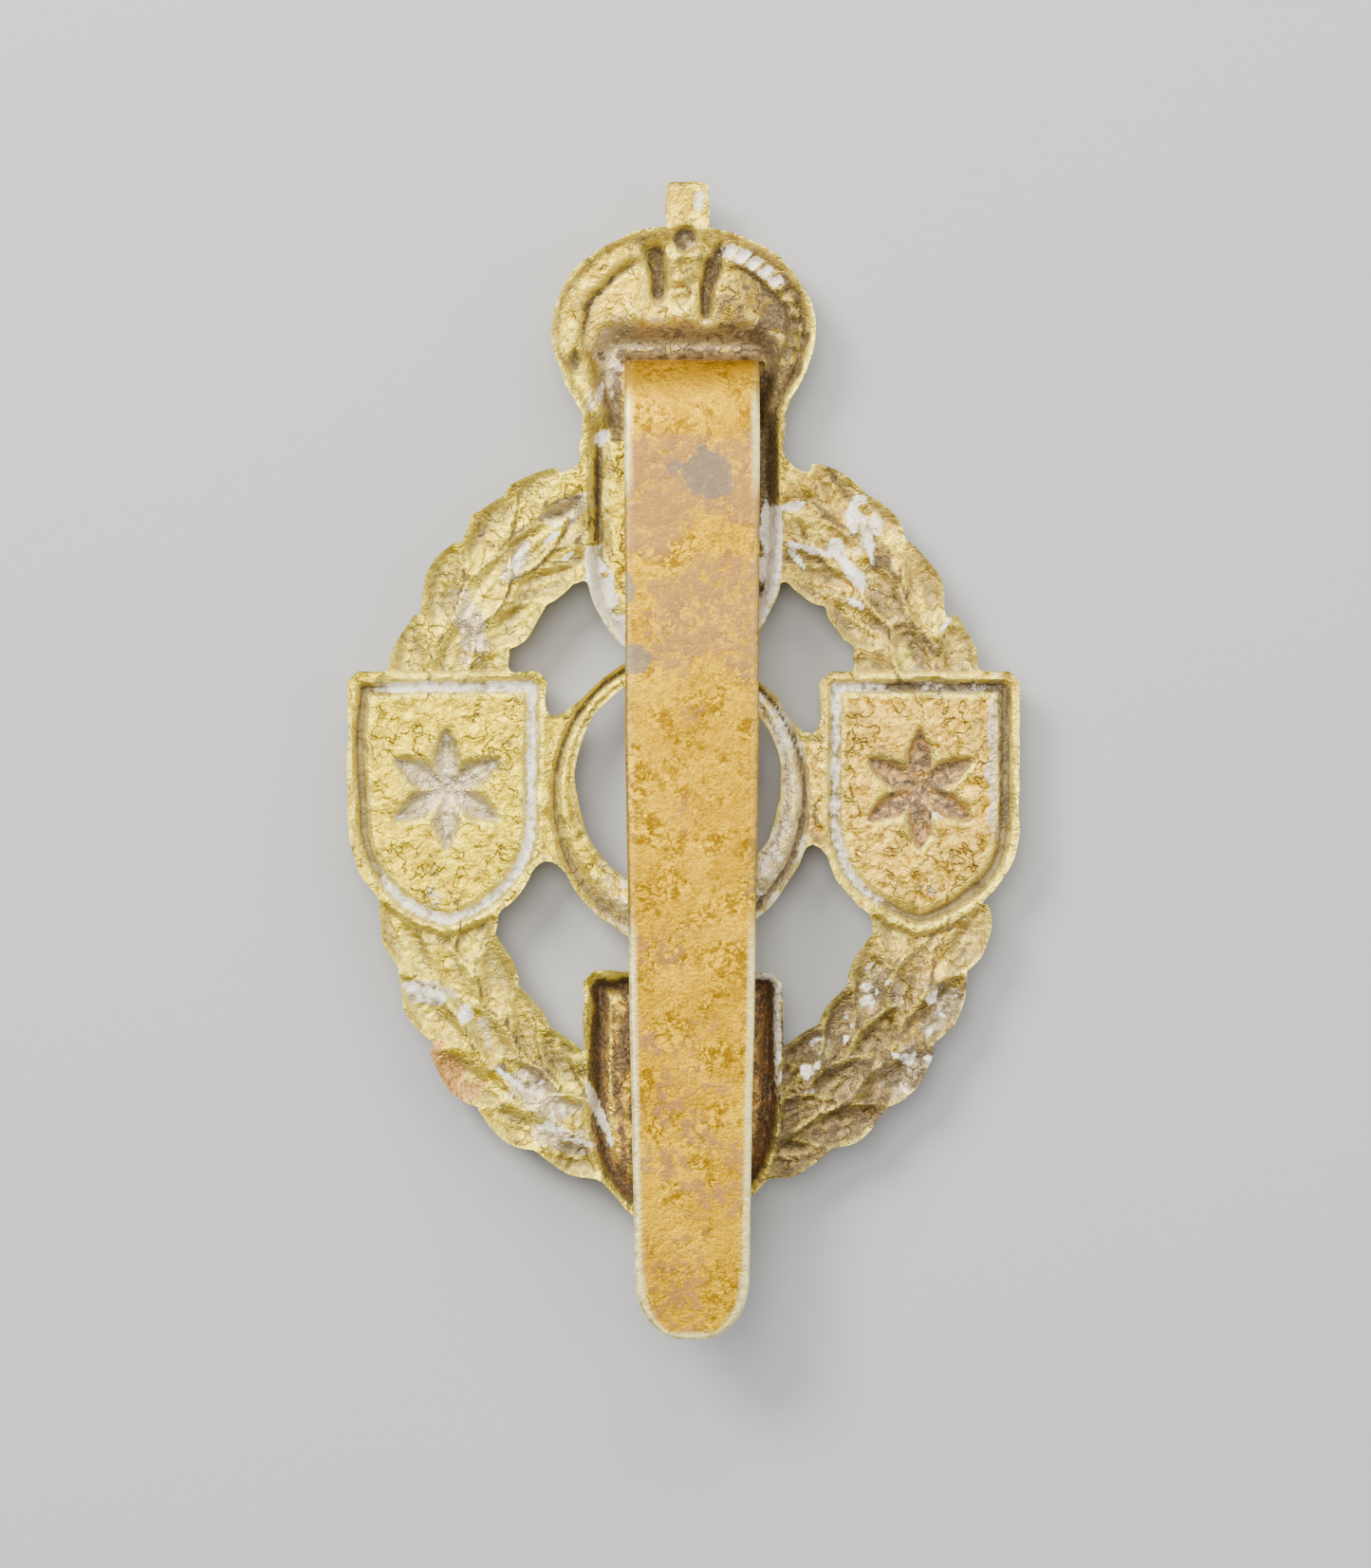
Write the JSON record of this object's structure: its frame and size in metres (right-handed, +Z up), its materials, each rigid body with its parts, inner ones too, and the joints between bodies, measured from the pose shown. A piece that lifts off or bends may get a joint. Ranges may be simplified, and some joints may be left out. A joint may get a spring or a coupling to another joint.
{
  "type": "cap badge",
  "caption": "Pierced, die-struck brass cap badge with crown, laurel wreath, shields and a brazed slider that springs open to clip over a cap band.",
  "frame": {"origin": "middle of the footprint, on the surface that the badge's struck front lies on", "axes": "+Z up out of the badge's back, +Y towards the crown's finial, +X to the right as the back is seen"},
  "size_m": [0.032, 0.055, 0.0057],
  "materials": {
    "badge_brass": "worn, dulled and tarnished",
    "slider_brass": "matt rolled, golden with burnished edges",
    "braze": "rough, dark"
  },
  "bodies": {
    "badge": {"struck_badge": "badge_brass", "slider_foot": "slider_brass", "braze_fillet": "braze"},
    "tongue": {"slider_tongue": "slider_brass"}
  },
  "joints": [
    {"name": "tongue_flex", "type": "hinge", "parent": "badge", "child": "tongue", "pos_m": [0.00042, 0.01557, 0.00517], "axis": [-1, 0, 0], "range_deg": [-2, 5], "stiffness_Nm_per_rad": 2.7}
  ]
}
